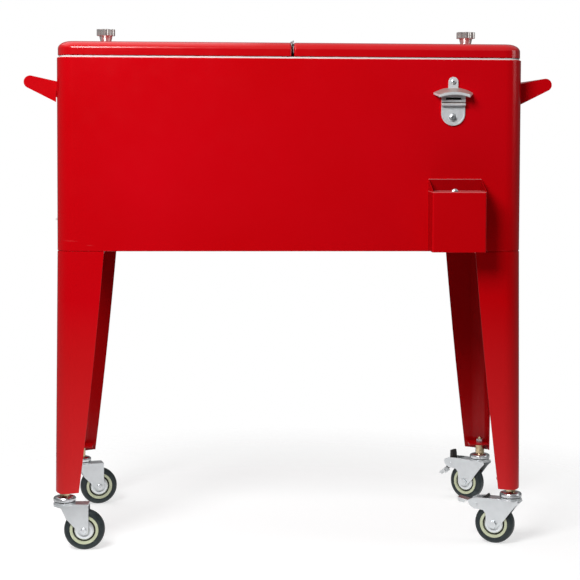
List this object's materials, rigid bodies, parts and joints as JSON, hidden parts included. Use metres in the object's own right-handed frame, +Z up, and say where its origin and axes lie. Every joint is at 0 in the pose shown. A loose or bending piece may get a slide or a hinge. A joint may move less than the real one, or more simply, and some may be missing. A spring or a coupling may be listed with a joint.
{
  "type": "wheeled patio cooler",
  "caption": "Insulated steel patio cooler cart with split lids hinged at the middle, side handles, wall bottle opener and cap bin, on tapered legs with swivel casters",
  "frame": {"origin": "on the floor, under the middle of the cart's overall outline", "axes": "+X along the tub to the user's right, +Y from the user to the back, +Z up"},
  "size_m": [0.917, 0.4906, 0.905],
  "materials": {
    "red_enamel": "gloss powder coat",
    "galvanised": "galvanised sheet",
    "liner_plastic": "semi-gloss white",
    "foam": "closed-cell foam",
    "soft_rubber": "pale soft rubber",
    "chrome": "polished",
    "wheel_tread": "matte",
    "wheel_centre": "moulded",
    "cast_zinc": "bright cast",
    "zinc_plated": "bright zinc plate",
    "brake_pedal": "black moulding with a zinc-plated tongue",
    "drain_plastic": "white moulding"
  },
  "bodies": {
    "cabinet": {"outer_shell": "red_enamel", "bottom_panel": "galvanised", "foam_insulation": "foam", "inner_liner": "liner_plastic", "centre_bar": "red_enamel", "centre_bar_screws": "zinc_plated", "hinge_centre_leaf": "zinc_plated", "hinge_pin": "zinc_plated", "handle_left": "red_enamel", "handle_right": "red_enamel", "handle_screws": "zinc_plated", "leg_front_left": "red_enamel", "leg_front_right": "red_enamel", "leg_rear_left": "red_enamel", "leg_rear_right": "red_enamel", "leg_bolts": "zinc_plated", "caster_stems": "zinc_plated", "caster_nuts": "zinc_plated", "bottle_opener": "cast_zinc", "opener_screws": "zinc_plated", "cap_catcher": "red_enamel", "catcher_screw": "zinc_plated", "drain_pipe": "drain_plastic", "drain_gasket": "soft_rubber", "drain_nut": "drain_plastic"},
    "drain_plug": {"drain_plug": "drain_plastic"},
    "lid_left": {"lid_left_skin": "red_enamel", "lid_left_liner": "liner_plastic", "lid_left_foam": "foam", "lid_left_gasket": "soft_rubber", "lid_left_hinge_leaf": "zinc_plated", "lid_left_knob": "chrome", "lid_left_knob_screw": "zinc_plated"},
    "lid_right": {"lid_right_skin": "red_enamel", "lid_right_liner": "liner_plastic", "lid_right_foam": "foam", "lid_right_gasket": "soft_rubber", "lid_right_hinge_leaf": "zinc_plated", "lid_right_knob": "chrome", "lid_right_knob_screw": "zinc_plated"},
    "caster_front_left": {"caster_front_left_fork": "zinc_plated", "caster_front_left_axle": "zinc_plated"},
    "caster_front_left_wheel": {"caster_front_left_wheel": "wheel_centre", "caster_front_left_tyre": "wheel_tread"},
    "caster_front_right": {"caster_front_right_fork": "zinc_plated", "caster_front_right_axle": "zinc_plated", "caster_front_right_brake_pin": "zinc_plated"},
    "caster_front_right_wheel": {"caster_front_right_wheel": "wheel_centre", "caster_front_right_tyre": "wheel_tread"},
    "caster_front_right_brake": {"caster_front_right_brake_pedal": "brake_pedal"},
    "caster_rear_left": {"caster_rear_left_fork": "zinc_plated", "caster_rear_left_axle": "zinc_plated"},
    "caster_rear_left_wheel": {"caster_rear_left_wheel": "wheel_centre", "caster_rear_left_tyre": "wheel_tread"},
    "caster_rear_right": {"caster_rear_right_fork": "zinc_plated", "caster_rear_right_axle": "zinc_plated", "caster_rear_right_brake_pin": "zinc_plated"},
    "caster_rear_right_wheel": {"caster_rear_right_wheel": "wheel_centre", "caster_rear_right_tyre": "wheel_tread"},
    "caster_rear_right_brake": {"caster_rear_right_brake_pedal": "brake_pedal"}
  },
  "joints": [
    {"name": "lid_left_hinge", "type": "hinge", "parent": "cabinet", "child": "lid_left", "pos_m": [0.002, 0.00968, 0.876], "axis": [0, 1, 0], "range_deg": [0, 80]},
    {"name": "lid_right_hinge", "type": "hinge", "parent": "cabinet", "child": "lid_right", "pos_m": [0.002, 0.00968, 0.876], "axis": [0, -1, 0], "range_deg": [0, 80]},
    {"name": "drain_plug_pull", "type": "slide", "parent": "cabinet", "child": "drain_plug", "axis": [-1, 0, 0], "range_m": [0, 0.025]},
    {"name": "caster_front_left_swivel", "type": "hinge", "parent": "cabinet", "child": "caster_front_left", "pos_m": [-0.3885, -0.16232, 0.08], "axis": [0, 0, 1], "continuous": true},
    {"name": "caster_front_left_spin", "type": "hinge", "parent": "caster_front_left", "child": "caster_front_left_wheel", "pos_m": [-0.35452, -0.1635, 0.035], "axis": [0.0349, 0.9994, 0], "continuous": true},
    {"name": "caster_front_right_swivel", "type": "hinge", "parent": "cabinet", "child": "caster_front_right", "pos_m": [0.3885, -0.16232, 0.08], "axis": [0, 0, 1], "continuous": true},
    {"name": "caster_front_right_spin", "type": "hinge", "parent": "caster_front_right", "child": "caster_front_right_wheel", "pos_m": [0.36333, -0.15004, 0.035], "axis": [-0.4384, -0.8988, 0], "continuous": true},
    {"name": "caster_front_right_brake", "type": "hinge", "parent": "caster_front_right", "child": "caster_front_right_brake", "pos_m": [0.33457, -0.13601, 0.0675], "axis": [-0.4384, -0.8988, 0], "range_deg": [0, 52]},
    {"name": "caster_rear_left_swivel", "type": "hinge", "parent": "cabinet", "child": "caster_rear_left", "pos_m": [-0.3885, 0.18168, 0.08], "axis": [0, 0, 1], "continuous": true},
    {"name": "caster_rear_left_spin", "type": "hinge", "parent": "caster_rear_left", "child": "caster_rear_left_wheel", "pos_m": [-0.35551, 0.18991, 0.035], "axis": [-0.2419, 0.9703, 0], "continuous": true},
    {"name": "caster_rear_right_swivel", "type": "hinge", "parent": "cabinet", "child": "caster_rear_right", "pos_m": [0.3885, 0.18168, 0.08], "axis": [0, 0, 1], "continuous": true},
    {"name": "caster_rear_right_spin", "type": "hinge", "parent": "caster_rear_right", "child": "caster_rear_right_wheel", "pos_m": [0.36705, 0.19968, 0.035], "axis": [-0.6428, -0.766, 0], "continuous": true},
    {"name": "caster_rear_right_brake", "type": "hinge", "parent": "caster_rear_right", "child": "caster_rear_right_brake", "pos_m": [0.34254, 0.22025, 0.0675], "axis": [-0.6428, -0.766, 0], "range_deg": [-52, 0]}
  ]
}
